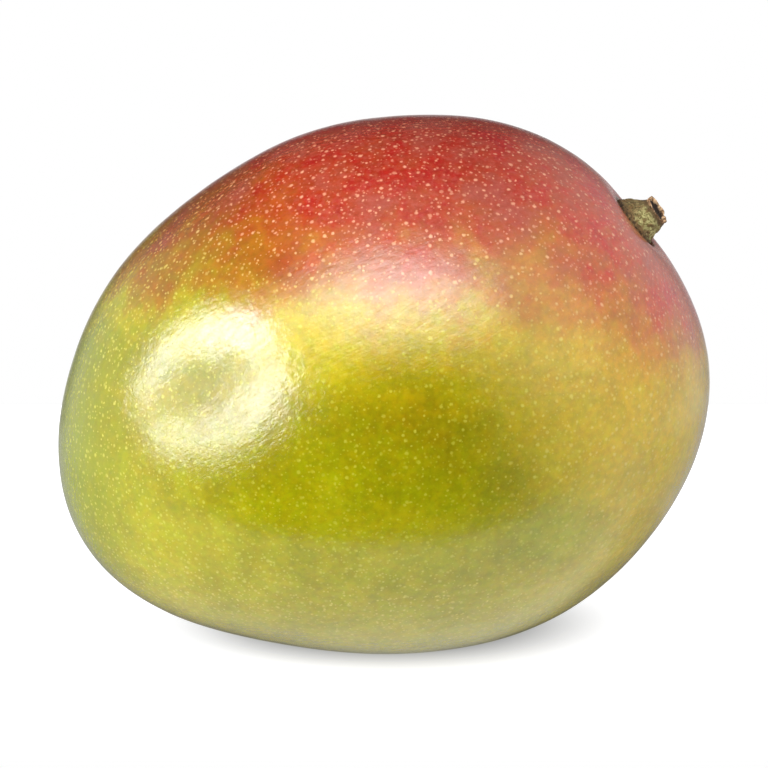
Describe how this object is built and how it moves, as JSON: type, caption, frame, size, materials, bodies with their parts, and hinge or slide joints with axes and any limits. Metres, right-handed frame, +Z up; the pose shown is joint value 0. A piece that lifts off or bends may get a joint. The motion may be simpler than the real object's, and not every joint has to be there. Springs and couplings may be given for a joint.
{
  "type": "mango",
  "caption": "Ripe whole mango lying on its side, egg-shaped fruit with a waxy red, orange and green skin and a short woody stem stub in a shallow stem hollow.",
  "frame": {"origin": "middle of the small flat spot on the underside that the fruit lies on", "axes": "+X along the fruit's length toward the stem end, +Y through its thinner width, away from the camera in the picture, +Z up; the flat spot faces -Z"},
  "size_m": [0.1227, 0.0912, 0.1015],
  "materials": {
    "skin": "satin",
    "stem": "matte"
  },
  "bodies": {
    "root": {"mango_fruit": "skin", "stem_stub": "stem"}
  },
  "joints": []
}
